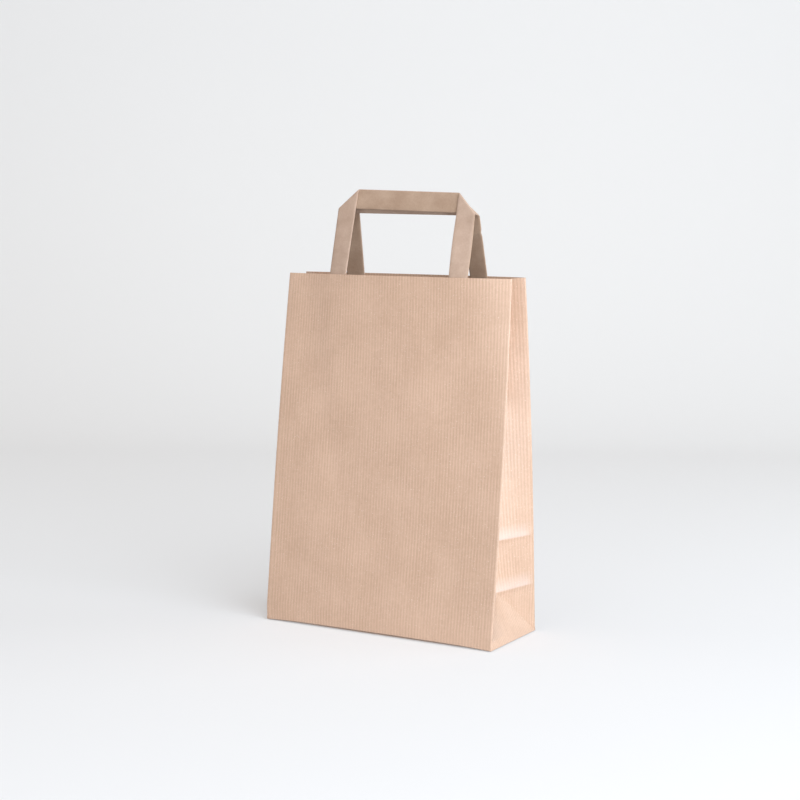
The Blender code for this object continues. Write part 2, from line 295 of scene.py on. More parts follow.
def ring(height):
    shares = [-1 + 2 * k / PANEL_STEPS for k in range(1, PANEL_STEPS)]
    near = gusset_half(height, FRONT)
    far = gusset_half(height, BACK)
    middle = (inner_crease(height, FRONT) + inner_crease(height, BACK)) / 2
    middle.x += crease_lift(height)
    right = near + [middle] + far[::-1]
    left = [Vector((-p.x - left_swell(height), p.y, p.z)) for p in right[::-1]]
    flat_run = DEPTH / 2 - FOLD_TURN
    half_along = [FOLD_TURN * k / FOLD_STEPS for k in range(FOLD_STEPS + 1)]
    half_along += [FOLD_TURN + flat_run * k / HALF_STEPS for k in range(1, HALF_STEPS + 1)]
    half_along = [d * min(1.0, height / APEX) for d in half_along]
    side_along = half_along + [DEPTH / 2] + [DEPTH - d for d in half_along[::-1]]
    points = [panel_point(u, height, FRONT) for u in shares]
    along = [u * WIDTH / 2 for u in shares]
    points += right
    along += [WIDTH / 2 + d for d in side_along]
    points += [panel_point(-u, height, BACK) for u in shares]
    along += [WIDTH + DEPTH + u * WIDTH / 2 for u in shares]
    points += left
    along += [1.5 * WIDTH + DEPTH + d for d in side_along]
    return points, along


# Rows stand closer together at the foot and round the two level creases
ROW_STEP = 0.004
ROWS_BELOW_CREASE = 4
ROWS_ABOVE_CREASE = 6


def row_heights():
    count = round(PANEL_HEIGHT / ROW_STEP)
    plain = [PANEL_HEIGHT * k / count for k in range(count + 1)]
    fixed = [0.0, FOLD_RUN_IN / 2, FOLD_RUN_IN, PANEL_HEIGHT]
    for crease in (APEX, DEPTH):
        fixed += [crease - CREASE_BELOW * k / ROWS_BELOW_CREASE for k in range(ROWS_BELOW_CREASE + 1)]
        fixed += [crease + CREASE_ABOVE * k / ROWS_ABOVE_CREASE for k in range(1, ROWS_ABOVE_CREASE + 1)]
    free = [h for h in plain if min(abs(h - f) for f in fixed) > ROW_STEP / 2]
    return sorted(free + fixed)


def smooth(mesh, degrees):
    mesh.shade_smooth()
    mesh.set_sharp_from_angle(angle=math.radians(degrees))


# An edge that turns through more degrees than this stays sharp in the shading
PLAIN_SHARP = 32
TUBE_SHARP = 40


def new_piece(name, bm, material, node, degrees=PLAIN_SHARP):
    mesh = bpy.data.meshes.new(name)
    bm.to_mesh(mesh)
    bm.free()
    smooth(mesh, degrees)
    mesh.materials.append(material)
    piece = bpy.data.objects.new(name, mesh)
    bpy.context.collection.objects.link(piece)
    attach(piece, "root")
    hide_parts(node)
    return piece


def linear(code):
    parts = [int(code[k : k + 2], 16) / 255 for k in (1, 3, 5)]
    return [c / 12.92 if c <= 0.04045 else ((c + 0.055) / 1.055) ** 2.4 for c in parts] + [1.0]


# An input is either linked, when it is given a socket, or set
def add_node(owner, kind, settings=None, inputs=None):
    tree = owner.node_tree
    node = tree.nodes.new(kind)
    for key, value in (settings or {}).items():
        setattr(node, key, value)
    for key, value in (inputs or {}).items():
        if isinstance(value, bpy.types.NodeSocket):
            tree.links.new(value, node.inputs[key])
        else:
            node.inputs[key].default_value = value
    return node


# A colour mix has several sockets of one name, so these are its places
COLOUR_MIX = {"data_type": "RGBA"}
MIX_SHARE = 0
MIX_FIRST = 6
MIX_SECOND = 7
MIXED = 2
TIMES = {"operation": "MULTIPLY"}
TIMES_PLUS = {"operation": "MULTIPLY_ADD"}

# Machine-glazed kraft: long brown fibres, pressed smooth and faintly shiny on one side, with fine
# upright ribs from the felt. The eye sees pin-fine lines and a few paler and darker fibres.
RIB_PITCH = 0.0028
RIB_HEIGHT = 0.00003
RIB_WANDER = 1.6
GRAIN_HEIGHT = 0.00006
KRAFT = "#D5B199"
KRAFT_DARK = "#C29E85"
# The next colour is a painted highlight, laid on the gussets just above their creases
KRAFT_PAINTED_HIGHLIGHT = "#DEC8C0"
FIBRE_PALE = "#F3E2D4"
FIBRE_DARK = "#A9866C"

# How many patches of each pattern there are to a metre, along the sheet and up it where they differ.
# Clouds are 36 mm wide, the ribs show more and less in patches of 24 mm and wander over 8 mm, and
# clots of fibre are 4 mm wide. Single fibres are a few hundredths of a millimetre thick, too fine to
# show, so they are drawn as flecks of 0.7 by 1.2 mm and as streaks of 2.3 by 42 mm.
CLOUDS = 28.0
RIB_PATCHES = 42.0
RIB_WANDERS = 120.0
CLOTS = 260.0
FLECKS = (1500.0, 800.0, 1.0)
STREAKS = (430.0, 24.0, 1.0)

# What the streaks and the clouds add to the tone, and the tones that are quite dark and quite pale
STREAK_SHARE = 0.5
CLOUD_SHARE = 1.1
DARK_TONE = 0.85
PALE_TONE = 1.75


def ribbed_kraft(name):
    material = bpy.data.materials.new(name)
    material.use_nodes = True
    tree = material.node_tree
    shader = tree.nodes["Principled BSDF"]
    sheet = add_node(material, "ShaderNodeUVMap", {"uv_map": "sheet"}).outputs["UV"]
    place = add_node(material, "ShaderNodeTexCoord").outputs["Object"]

    # The ribs are a sine along the sheet, which wanders a little
    split = add_node(material, "ShaderNodeSeparateXYZ", inputs={"Vector": sheet})
    turns = {0: split.outputs["X"], 1: 2 * math.pi / RIB_PITCH}
    phase = add_node(material, "ShaderNodeMath", TIMES, turns)
    wandering = {"Vector": sheet, "Scale": RIB_WANDERS, "Detail": 1.0}
    wander = add_node(material, "ShaderNodeTexNoise", inputs=wandering)
    moved = {0: wander.outputs["Fac"], 1: RIB_WANDER, 2: phase.outputs[0]}
    shifted = add_node(material, "ShaderNodeMath", TIMES_PLUS, moved)
    wave = add_node(material, "ShaderNodeMath", {"operation": "SINE"}, {0: shifted.outputs[0]})
    patches = {"Vector": sheet, "Scale": RIB_PATCHES, "Detail": 2.0}
    patchy = add_node(material, "ShaderNodeTexNoise", inputs=patches)
    strength = add_node(
        material,
        "ShaderNodeMapRange",
        inputs={
            "Value": patchy.outputs["Fac"],
            "From Min": 0.35,
            "From Max": 0.62,
            "To Min": 0.14,
            "To Max": 0.36,
        },
    )

    # The tone adds up the ribs, the clots, the streaks and the clouds
    clots = {"Vector": place, "Scale": CLOTS, "Detail": 4.0, "Roughness": 0.65}
    mottle = add_node(material, "ShaderNodeTexNoise", inputs=clots)
    long = add_node(material, "ShaderNodeMapping", inputs={"Vector": sheet, "Scale": STREAKS})
    drawn = {"Vector": long.outputs[0], "Scale": 1.0, "Detail": 2.0}
    streak = add_node(material, "ShaderNodeTexNoise", inputs=drawn)
    clouds = {"Vector": place, "Scale": CLOUDS, "Detail": 2.0}
    cloud = add_node(material, "ShaderNodeTexNoise", inputs=clouds)
    ribbed = {0: wave.outputs[0], 1: strength.outputs[0], 2: mottle.outputs["Fac"]}
    tone = add_node(material, "ShaderNodeMath", TIMES_PLUS, ribbed)
    streaked = {0: streak.outputs["Fac"], 1: STREAK_SHARE, 2: tone.outputs[0]}
    tone = add_node(material, "ShaderNodeMath", TIMES_PLUS, streaked)
    clouded = {0: cloud.outputs["Fac"], 1: CLOUD_SHARE, 2: tone.outputs[0]}
    tone = add_node(material, "ShaderNodeMath", TIMES_PLUS, clouded)
    range_of_tones = {"Value": tone.outputs[0], "From Min": DARK_TONE, "From Max": PALE_TONE}
    level = add_node(material, "ShaderNodeMapRange", inputs=range_of_tones)
    kraft = {MIX_SHARE: level.outputs[0], MIX_FIRST: linear(KRAFT_DARK), MIX_SECOND: linear(KRAFT)}
    body = add_node(material, "ShaderNodeMix", COLOUR_MIX, kraft).outputs[MIXED]

    # Over it lie the painted highlight bands above the gusset creases and the dark and pale fibres
    painted_highlight = add_node(material, "ShaderNodeAttribute", {"attribute_name": "painted_highlight"})
    highlighted = {MIX_SHARE: painted_highlight.outputs["Fac"], MIX_FIRST: body, MIX_SECOND: linear(KRAFT_PAINTED_HIGHLIGHT)}
    body = add_node(material, "ShaderNodeMix", COLOUR_MIX, highlighted).outputs[MIXED]
    small = add_node(material, "ShaderNodeMapping", inputs={"Vector": sheet, "Scale": FLECKS})
    strewn = {"Vector": small.outputs[0], "Scale": 1.0, "Detail": 2.0}
    fibre = add_node(material, "ShaderNodeTexNoise", inputs=strewn).outputs["Fac"]
    lowest = {"Value": fibre, "From Min": 0.35, "From Max": 0.26, "To Max": 0.7}
    dark = add_node(material, "ShaderNodeMapRange", inputs=lowest)
    flecked = {MIX_SHARE: dark.outputs[0], MIX_FIRST: body, MIX_SECOND: linear(FIBRE_DARK)}
    body = add_node(material, "ShaderNodeMix", COLOUR_MIX, flecked).outputs[MIXED]
    highest = {"Value": fibre, "From Min": 0.65, "From Max": 0.73, "To Max": 0.8}
    pale = add_node(material, "ShaderNodeMapRange", inputs=highest)
    flecked = {MIX_SHARE: pale.outputs[0], MIX_FIRST: body, MIX_SECOND: linear(FIBRE_PALE)}
    colour = add_node(material, "ShaderNodeMix", COLOUR_MIX, flecked).outputs[MIXED]

    raised = {"Height": wave.outputs[0], "Distance": RIB_HEIGHT, "Strength": 0.7}
    ribs = add_node(material, "ShaderNodeBump", inputs=raised)
    rough = {"Height": mottle.outputs["Fac"], "Distance": GRAIN_HEIGHT, "Strength": 0.5}
    grain = add_node(material, "ShaderNodeBump", inputs={**rough, "Normal": ribs.outputs[0]})
    tree.links.new(colour, shader.inputs["Base Color"])
    tree.links.new(grain.outputs[0], shader.inputs["Normal"])
    shader.inputs["Roughness"].default_value = 0.36
    shader.inputs["IOR"].default_value = 1.65
    return material


bag_paper = ribbed_kraft("machine_glazed_ribbed_kraft")

# The painted highlight bands above the creases fade in over a few columns from each fold
HIGHLIGHT_COLUMNS = 3

# Points that are closer than this are one point, and points this near the floor are level with it
MERGE_REACH = 1e-7
LEVEL_REACH = 1e-6


def make_tube():
    bm = bmesh.new()
    sheet = bm.loops.layers.uv.new("sheet")
    painted_highlight = bm.verts.layers.float.new("painted_highlight")
    heights = row_heights()
    rings, alongs = zip(*[ring(height) for height in heights])

    # The lowest row turns under the lower fold, further in where the front panel arches up
    reach_x = WIDTH / 2 - BASE_EDGE
    reach_y = DEPTH / 2 - BASE_EDGE
    base = []
    for p in rings[0]:
        x = max(-reach_x, min(reach_x, p.x))
        front_y = -reach_y + ARCH_INSET * arch(x / reach_x, FRONT)
        base.append(Vector((x, max(front_y, min(reach_y, p.y)), FLOOR_Z)))
    levels = [-BASE_EDGE] + heights
    rows = [[bm.verts.new(p) for p in points] for points in (base, *rings)]
    alongs = [[*along, along[0] + 2 * (WIDTH + DEPTH)] for along in (alongs[0], *alongs)]
    for i in range(len(heights)):
        low, high = rows[i : i + 2]
        for k in range(len(low)):
            j = (k + 1) % len(low)
            face = bm.faces.new((low[k], low[j], high[j], high[k]))
            corners = ((i, k), (i, k + 1), (i + 1, k + 1), (i + 1, k))
            for loop, (row, column) in zip(face.loops, corners):
                loop[sheet].uv = (alongs[row][column], levels[row])

    # Each point takes its share of the painted highlight that lies just above the gusset creases
    panel_count = PANEL_STEPS - 1
    side_count = len(base) // 2 - panel_count
    for row, level in zip(rows, levels):
        for k, vert in enumerate(row):
            place = k % (panel_count + side_count) - panel_count
            from_fold = max(0, min(place, side_count - 1 - place) - FOLD_STEPS)
            vert[painted_highlight] = painted_crease_highlight(level) * min(1.0, from_fold / HIGHLIGHT_COLUMNS)

    bmesh.ops.remove_doubles(bm, verts=bm.verts, dist=MERGE_REACH)
    open_edges = [e for e in bm.edges if e.is_boundary]
    rim = [e for e in open_edges if all(abs(v.co.z - FLOOR_Z) < LEVEL_REACH for v in e.verts)]
    filled = bmesh.ops.holes_fill(bm, edges=rim, sides=0)["faces"]
    for face in filled:
        for loop in face.loops:
            loop[sheet].uv = loop.vert.co.xy
    bmesh.ops.recalc_face_normals(bm, faces=bm.faces)
    floor = min(bm.faces, key=lambda f: f.calc_center_median().z)
    if floor.normal.z > 0:
        bmesh.ops.reverse_faces(bm, faces=bm.faces)

    tube = new_piece("bag_tube", bm, bag_paper, "bag_body")
    wall = tube.modifiers.new("paper", "SOLIDIFY")
    wall.thickness = PAPER
    wall.offset = -1.0
    wall.use_even_offset = True
    wall.use_quality_normals = True
    solid = tube.evaluated_get(bpy.context.evaluated_depsgraph_get())
    mesh = bpy.data.meshes.new_from_object(solid)
    tube.modifiers.remove(wall)
    tube.data = mesh
    smooth(mesh, TUBE_SHARP)


make_tube()


# The glued base flaps
# The two long flaps of the block base, of the bag's own paper, cut back at 45 degrees from the
# corners. The back one is glued over the front one, and the lap is the strip of it that lies there.

FLAP_LAP = 0.024


# A closed sheet of paper between two grids of points, one for each of its faces
def sheet_between(bm, lower, upper):
    rows = len(lower)
    columns = len(lower[0])
    below = [[bm.verts.new(p) for p in row] for row in lower]
    above = [[bm.verts.new(p) for p in row] for row in upper]
    for i in range(rows - 1):
        for j in range(columns - 1):
            bm.faces.new((below[i][j], below[i][j + 1], below[i + 1][j + 1], below[i + 1][j]))
            bm.faces.new((above[i][j], above[i + 1][j], above[i + 1][j + 1], above[i][j + 1]))
    border = [(0, j) for j in range(columns)]
    border += [(i, columns - 1) for i in range(1, rows)]
    border += [(rows - 1, j) for j in range(columns - 2, -1, -1)]
    border += [(i, 0) for i in range(rows - 2, 0, -1)]
    for (i, j), (k, m) in zip(border, border[1:] + border[:1]):
        bm.faces.new((below[i][j], above[i][j], above[k][m], below[k][m]))
    bmesh.ops.recalc_face_normals(bm, faces=bm.faces)


# The two long edges of a flap, the outer one first
def flap_edges(side, start, stop):
    outer_y = side * (DEPTH / 2 - start)
    inner_y = side * (DEPTH / 2 - stop)
    long_half = WIDTH / 2 - start
    short_half = WIDTH / 2 - stop
    outer = [(-long_half, outer_y), (long_half, outer_y)]
    return outer, [(-short_half, inner_y), (short_half, inner_y)]


def make_flap(name, edges, low, high):
    bm = bmesh.new()
    lower = [[(x, y, low) for x, y in edge] for edge in edges]
    upper = [[(x, y, high) for x, y in edge] for edge in edges]
    sheet_between(bm, lower, upper)
    sheet = bm.loops.layers.uv.new("sheet")
    for face in bm.faces:
        for loop in face.loops:
            loop[sheet].uv = loop.vert.co.xy
    new_piece(name, bm, bag_paper, "bag_body")


flap_reach = DEPTH / 2 + FLAP_LAP / 2
front_start = BASE_EDGE + ARCH_INSET
make_flap("base_flap_front", flap_edges(FRONT, front_start, flap_reach - FLAP_LAP), PAPER, FLOOR_Z)
make_flap("base_flap_back", flap_edges(BACK, BASE_EDGE, flap_reach - FLAP_LAP), PAPER, FLOOR_Z)
make_flap("base_flap_lap", flap_edges(BACK, flap_reach - FLAP_LAP, flap_reach), 0.0, FLOOR_Z)


# The upright seam
# The edge of the sheet that closes the tube, of the same paper, glued down the back panel beside
# its left fold. Its ribs don't quite meet those of the panel.

SEAM_LAP = 0.015
SEAM_INSET = 0.014
SEAM_STEPS = 6
SEAM_SEAT = 0.00002
SEAM_RIB_SHIFT = RIB_PITCH / 3


def make_seam():
    bm = bmesh.new()
    inner = []
    outer = []
    for height in row_heights()[1:]:
        start = -1 + SEAM_INSET / edge_x(height)
        stop = start + SEAM_LAP / edge_x(height)
        shares = [start + (stop - start) * k / SEAM_STEPS for k in range(SEAM_STEPS + 1)]
        inner.append([panel_point(u, height, BACK, SEAM_SEAT) for u in shares])
        outer.append([panel_point(u, height, BACK, PAPER) for u in shares])
    sheet_between(bm, inner, outer)
    sheet = bm.loops.layers.uv.new("sheet")
    for face in bm.faces:
        for loop in face.loops:
            loop[sheet].uv = (loop.vert.co.x + SEAM_RIB_SHIFT, loop.vert.co.z)
    new_piece("seam_lap", bm, bag_paper, "bag_body")


make_seam()


# The two tape handles
# Smooth kraft, wound and glued into a flat tape of several layers. Each handle is one length with
# two 45 degree folds, and its legs are glued inside a panel. The two bars lean against each other.

TAPE_WIDTH = 0.0172
TAPE_THICKNESS = 0.0011
TAPE_FOLD_GAP = 0.0002
LEG_SPACING = 0.1145
LEG_TUCK = 0.046
BEND_START = -0.010
BEND_LENGTH = 0.014
HANDLE_CLEARANCE = 0.0010
SEAT_GAP = 0.0003
TUCK_ROWS = 10
BEND_ROWS = 10
FREE_ROWS = 36
FOLD_ROWS = 14
BAR_ROWS = 16
TAPE_ACROSS = 8
TAPE_EDGE_STEPS = 4
TAPE_SHARP = 50

# rise is the top of the bar over the cut edge. shift is to the right, drop is how much lower the
# bar is at its right, splay is how far each leg stands out sideways at the cut edge, and twist
# turns the right leg.
Handle = namedtuple("Handle", "name side rise shift drop splay twist")
FRONT_HANDLE = Handle("front", FRONT, 0.0733, 0.0031, 0.0034, 0.0012, 0.14)
BACK_HANDLE = Handle("back", BACK, 0.0708, 0.0012, 0.0014, 0.0032, 0.0)


# Where a point of the flat handle goes when it is shifted, tilted and splayed in its panel's plane
def placed(handle, x, height):
    inner_edge = (LEG_SPACING - TAPE_WIDTH) / 2
    sideways = max(-1.0, min(1.0, x / inner_edge))
    spread = handle.splay * sideways * (1 - clamped(height / handle.rise))
    slope = handle.drop / LEG_SPACING
    return x + spread + slope * height + handle.shift, height - slope * (x + spread)


def root_at(x, height, side):
    out = panel_out(x / edge_x(height), height, side)
    return Vector((x, edge_y(height, side) + side * out, edge_z(height, side)))


# The leg follows the panel, bends where it leaves it and leans over, so that the bars meet over the
# middle of the base
def tape_point(handle, x, height, layer):
    side = handle.side
    leg_height = handle.rise - TAPE_WIDTH
    turned_x = max(0.0, x - LEG_SPACING / 2 + TAPE_WIDTH / 2) - TAPE_WIDTH / 2
    loose = math.sin(math.pi * clamped(height / leg_height))
    twisted = handle.twist * turned_x * loose if turned_x > -TAPE_WIDTH / 2 else 0.0
    x, height = placed(handle, x, height)
    bend_root = root_at(LEG_SPACING / 2, PANEL_HEIGHT + BEND_START, side)
    stack = PAPER + SEAT_GAP + 2 * TAPE_THICKNESS + TAPE_FOLD_GAP
    travel = abs(bend_root.y) - stack - HANDLE_CLEARANCE / 2
    lean = math.asin(travel / (handle.rise - BEND_START - BEND_LENGTH / 2))
    root_height = PANEL_HEIGHT + min(height, BEND_START)
    root = root_at(x, root_height, side)
    leg_root = root_at(LEG_SPACING / 2, root_height, side)
    straighten = clamped(height / leg_height)
    y = root.y + (leg_root.y - root.y) * straighten
    bend_radius = BEND_LENGTH / lean
    turned = min(lean, max(0.0, (height - BEND_START) / bend_radius))
    free = max(0.0, height - BEND_START - BEND_LENGTH)
    inward = bend_radius * (1 - math.cos(turned)) + free * math.sin(lean)
    up = bend_radius * math.sin(turned) + free * math.cos(lean)
    inward += (PAPER + SEAT_GAP + TAPE_THICKNESS / 2 + layer) * math.cos(turned)
    up -= layer * math.sin(turned)
    return Vector((x, y - side * inward + twisted, root.z + up))


# Rows across the left half of the tape, from the leg's end to the middle of the bar: the two end
# points, the layer, and the way that the outer face looks
def tape_rows(rise):
    half = TAPE_WIDTH / 2
    outer_x = -LEG_SPACING / 2 - half
    inner_x = -LEG_SPACING / 2 + half
    radius = (TAPE_THICKNESS + TAPE_FOLD_GAP) / 2
    setback = (radius + TAPE_THICKNESS / 2) * math.sqrt(2)
    leg_top = rise - TAPE_WIDTH - setback
    free_start = BEND_START + BEND_LENGTH
    stops = [-LEG_TUCK + (LEG_TUCK + BEND_START) * k / TUCK_ROWS for k in range(TUCK_ROWS)]
    stops += [BEND_START + BEND_LENGTH * k / BEND_ROWS for k in range(BEND_ROWS)]
    stops += [free_start + (leg_top - free_start) * k / FREE_ROWS for k in range(FREE_ROWS)]
    rows = []
    for height in stops:
        rows.append(((outer_x, height), (inner_x, height), 0.0, (0.0, 0.0, -1.0)))

    # Over the 45 degree fold the row turns through half a circle from the leg's layer to the bar's
    for step in range(FOLD_ROWS + 1):
        k = step / FOLD_ROWS
        angle = math.pi * k
        past = radius * math.sin(angle) / math.sqrt(2)
        slide = setback * k
        low = (outer_x + slide - past, leg_top + slide + past)
        high = (low[0] + TAPE_WIDTH, low[1] + TAPE_WIDTH)
        aside = math.sin(angle) / math.sqrt(2)
        rows.append((low, high, radius * (1 - math.cos(angle)), (-aside, aside, -math.cos(angle))))
    bar_x = inner_x + setback
    for k in range(1, BAR_ROWS + 1):
        x = bar_x * (1 - k / BAR_ROWS)
        rows.append(((x, rise - TAPE_WIDTH), (x, rise), 2 * radius, (0.0, 0.0, 1.0)))
    return rows


# The tape's section: two flat faces and two edges rounded by the winding, as shares across the
# width and through the thickness
def tape_section():
    half = TAPE_THICKNESS / 2
    flat = TAPE_WIDTH - 2 * half
    loop = []
    for step in range(TAPE_ACROSS + 1):
        loop.append((half + flat * step / TAPE_ACROSS, 1.0))
    for step in range(1, TAPE_EDGE_STEPS):
        angle = math.pi * step / TAPE_EDGE_STEPS
        loop.append((TAPE_WIDTH - half + half * math.sin(angle), math.cos(angle)))
    for step in range(TAPE_ACROSS + 1):
        loop.append((TAPE_WIDTH - half - flat * step / TAPE_ACROSS, -1.0))
    for step in range(1, TAPE_EDGE_STEPS):
        angle = math.pi * step / TAPE_EDGE_STEPS
        loop.append((half - half * math.sin(angle), -math.cos(angle)))
    return [(across / TAPE_WIDTH, through) for across, through in loop]


# Smooth brown tape paper, glued hard and flat: darker than the bag, with soft clouds of about 11 mm
# where the glue has soaked in. Its reverse face carries painted shade: a darker, browner copy of the
# tape's colour that stands in for the shade on the leaning bars and the warm shade between the
# handles' legs. A 45 degree fold turns that side out along the bar. Its fibres are too fine to show,
# so they are drawn as a mottle of 1.4 mm.
TAPE_BROWN = "#BCA08E"
TAPE_SHADE = "#AC907E"
SHADED_REVERSE_BROWN = "#B49883"
SHADED_REVERSE_DARK = "#A28570"
GLUE_CLOUDS = 90.0
MOTTLES = 700.0
MOTTLE_SHARE = 0.5
MOTTLE_HEIGHT = 0.00005


def tape_kraft(name, light, dark):
    material = bpy.data.materials.new(name)
    material.use_nodes = True
    tree = material.node_tree
    shader = tree.nodes["Principled BSDF"]
    place = add_node(material, "ShaderNodeTexCoord").outputs["Object"]
    clouds = {"Vector": place, "Scale": GLUE_CLOUDS, "Detail": 3.0}
    cloud = add_node(material, "ShaderNodeTexNoise", inputs=clouds)
    mottles = {"Vector": place, "Scale": MOTTLES, "Detail": 3.0}
    mottle = add_node(material, "ShaderNodeTexNoise", inputs=mottles)
    both = {0: mottle.outputs["Fac"], 1: MOTTLE_SHARE, 2: cloud.outputs["Fac"]}
    tone = add_node(material, "ShaderNodeMath", TIMES_PLUS, both)
    range_of_tones = {"Value": tone.outputs[0], "From Min": 0.5, "From Max": 1.0}
    level = add_node(material, "ShaderNodeMapRange", inputs=range_of_tones)
    browns = {MIX_SHARE: level.outputs[0], MIX_FIRST: linear(dark), MIX_SECOND: linear(light)}
    colour = add_node(material, "ShaderNodeMix", COLOUR_MIX, browns)
    rough = {"Height": mottle.outputs["Fac"], "Distance": MOTTLE_HEIGHT, "Strength": 0.4}
    grain = add_node(material, "ShaderNodeBump", inputs=rough)
    tree.links.new(colour.outputs[MIXED], shader.inputs["Base Color"])
    tree.links.new(grain.outputs[0], shader.inputs["Normal"])
    shader.inputs["Roughness"].default_value = 0.62
    shader.inputs["IOR"].default_value = 1.45
    return material


tape_face = tape_kraft("smooth_kraft_tape", TAPE_BROWN, TAPE_SHADE)
# The second tape material is the tape's colour with painted shade, for the reverse face
tape_painted_shade = tape_kraft("kraft_tape_painted_shade", SHADED_REVERSE_BROWN, SHADED_REVERSE_DARK)

# Half way up its right leg the back handle has been pinched into one slanting crease
PINCH_HEIGHT = 0.036
PINCH_SLANT = 0.35
PINCH_REACH = 0.0019
PINCH_DEPTH = 0.0014


def pinch(handle, x, height):
    if handle is not BACK_HANDLE or x < 0:
        return 0.0
    off = (height - PINCH_HEIGHT - PINCH_SLANT * (x - LEG_SPACING / 2)) / PINCH_REACH
    return PINCH_DEPTH * math.exp(-off * off)


# The free tape is softly uneven between its two firm edges
TAPE_WAVE = 0.00025
TAPE_WAVES = 70
TAPE_SEED = 9.0
TAPE_WAVE_START = 0.004
TAPE_WAVE_RUN = 0.01
FIRM_EDGE_POWER = 4


def tape_wave(handle, x, height, across):
    spot = Vector((x * TAPE_WAVES, height * TAPE_WAVES, TAPE_SEED * handle.side))
    loose = clamped((height - TAPE_WAVE_START) / TAPE_WAVE_RUN)
    return TAPE_WAVE * noise.noise(spot) * loose * (1 - abs(2 * across - 1) ** FIRM_EDGE_POWER)


def make_handle(handle):
    left = tape_rows(handle.rise)
    right = []
    for (x0, h0), (x1, h1), layer, (fx, fh, fn) in left[-2::-1]:
        right.append(((-x0, h0), (-x1, h1), layer, (-fx, fh, fn)))
    bm = bmesh.new()
    loops = []
    for (x0, h0), (x1, h1), layer, (fx, fh, fn) in left + right:
        loop = []
        for across, through in tape_section():
            reach = through * TAPE_THICKNESS / 2
            x = x0 + (x1 - x0) * across + fx * reach
            height = h0 + (h1 - h0) * across + fh * reach
            wave = tape_wave(handle, x, height, across) + pinch(handle, x, height)
            loop.append(bm.verts.new(tape_point(handle, x, height, layer + fn * reach + wave)))
        loops.append(loop)
    for low, high in zip(loops, loops[1:]):
        for k in range(len(low)):
            j = (k + 1) % len(low)
            face = bm.faces.new((low[k], low[j], high[j], high[k]))
            # The reverse side of the section takes the material with painted shade
            face.material_index = 0 if k < TAPE_ACROSS + TAPE_EDGE_STEPS else 1
    bm.faces.new(loops[0])
    bm.faces.new(loops[-1])
    bmesh.ops.recalc_face_normals(bm, faces=bm.faces)
    node = "handle_" + handle.name
    tape = new_piece("tape_" + handle.name, bm, tape_face, node, TAPE_SHARP)
    tape.data.materials.append(tape_painted_shade)


make_handle(FRONT_HANDLE)
make_handle(BACK_HANDLE)


# The handle patches
# A strip of plain kraft glued over both legs of a handle, inside each panel. It rises over each leg
# and lies on the panel between them.

PATCH_MARGIN = 0.010
PATCH_WIDTH = LEG_SPACING + TAPE_WIDTH + 2 * PATCH_MARGIN
PATCH_HEIGHT = 0.042
PATCH_DROP = 0.012
PATCH_RAMP = 0.004
PATCH_ROWS = 12
PATCH_COLUMNS = 96
PATCH_SHARP = 35
PATCH_BROWN = "#C9A88C"
PATCH_SHADE = "#B99779"

patch_paper = tape_kraft("plain_kraft_patch", PATCH_BROWN, PATCH_SHADE)


def patch_rise(x):
    inner = (LEG_SPACING - TAPE_WIDTH) / 2 - SEAT_GAP
    outer = (LEG_SPACING + TAPE_WIDTH) / 2 + SEAT_GAP
    x = abs(x)
    return eased(clamped(min((x - inner) / PATCH_RAMP + 1, (outer - x) / PATCH_RAMP + 1)))


def make_patch(handle):
    inside = []
    outside = []
    for i in range(PATCH_ROWS + 1):
        near = []
        far = []
        flat_height = -PATCH_DROP - PATCH_HEIGHT * (1 - i / PATCH_ROWS)
        for j in range(PATCH_COLUMNS + 1):
            flat_x = PATCH_WIDTH * (j / PATCH_COLUMNS - 0.5)
            x, height = placed(handle, flat_x, flat_height)
            lift = PAPER + SEAT_GAP + patch_rise(flat_x) * (TAPE_THICKNESS + SEAT_GAP)
            root = root_at(x, height + PANEL_HEIGHT, handle.side)
            near.append(root - Vector((0.0, handle.side * lift, 0.0)))
            far.append(root - Vector((0.0, handle.side * (lift + PAPER), 0.0)))
        inside.append(near)
        outside.append(far)
    bm = bmesh.new()
    sheet_between(bm, inside, outside)
    node = "handle_patch_" + handle.name
    new_piece("patch_" + handle.name, bm, patch_paper, node, PATCH_SHARP)


for handle in (FRONT_HANDLE, BACK_HANDLE):
    make_patch(handle)


# The table and the wall behind it
# One wide sheet of white card that curves up behind the bag. It takes the bag's soft shadow, and
# it throws back less light than it shows, as a real room's floor in front of the bag does.

VIEW_TURN = math.radians(29.209)
CARD_FRONT = -3.0
CARD_BEND_START = 1.1
CARD_BEND_RADIUS = 0.7
CARD_BEND_STEPS = 16
CARD_TOP = 4.0
CARD_HALF_WIDTH = 4.0
CARD_FLOOR = "#BBBABC"
CARD_WALL = "#CCCACA"
CARD_BOUNCE = "#B9B8BA"

# Behind the bag the tone of the floor turns slowly into that of the wall, over this distance
WALL_TONE_FROM = 1.2

# The card glows a little for the eye alone, and more where it runs far out past the lamps
CARD_GLOW = 0.34
DISTANT_GLOW = 0.48
DISTANT_START = 1.3
DISTANT_END = 3.2


# One where the eye sees a surface itself, in a mirror or through glass, and nought for bounced light
def seen_itself(owner):
    path = add_node(owner, "ShaderNodeLightPath")
    rays = {0: path.outputs["Is Camera Ray"], 1: path.outputs["Is Glossy Ray"]}
    seen = add_node(owner, "ShaderNodeMath", {"operation": "MAXIMUM"}, rays)
    rays = {0: seen.outputs[0], 1: path.outputs["Is Transmission Ray"]}
    return add_node(owner, "ShaderNodeMath", {"operation": "MAXIMUM"}, rays).outputs[0]


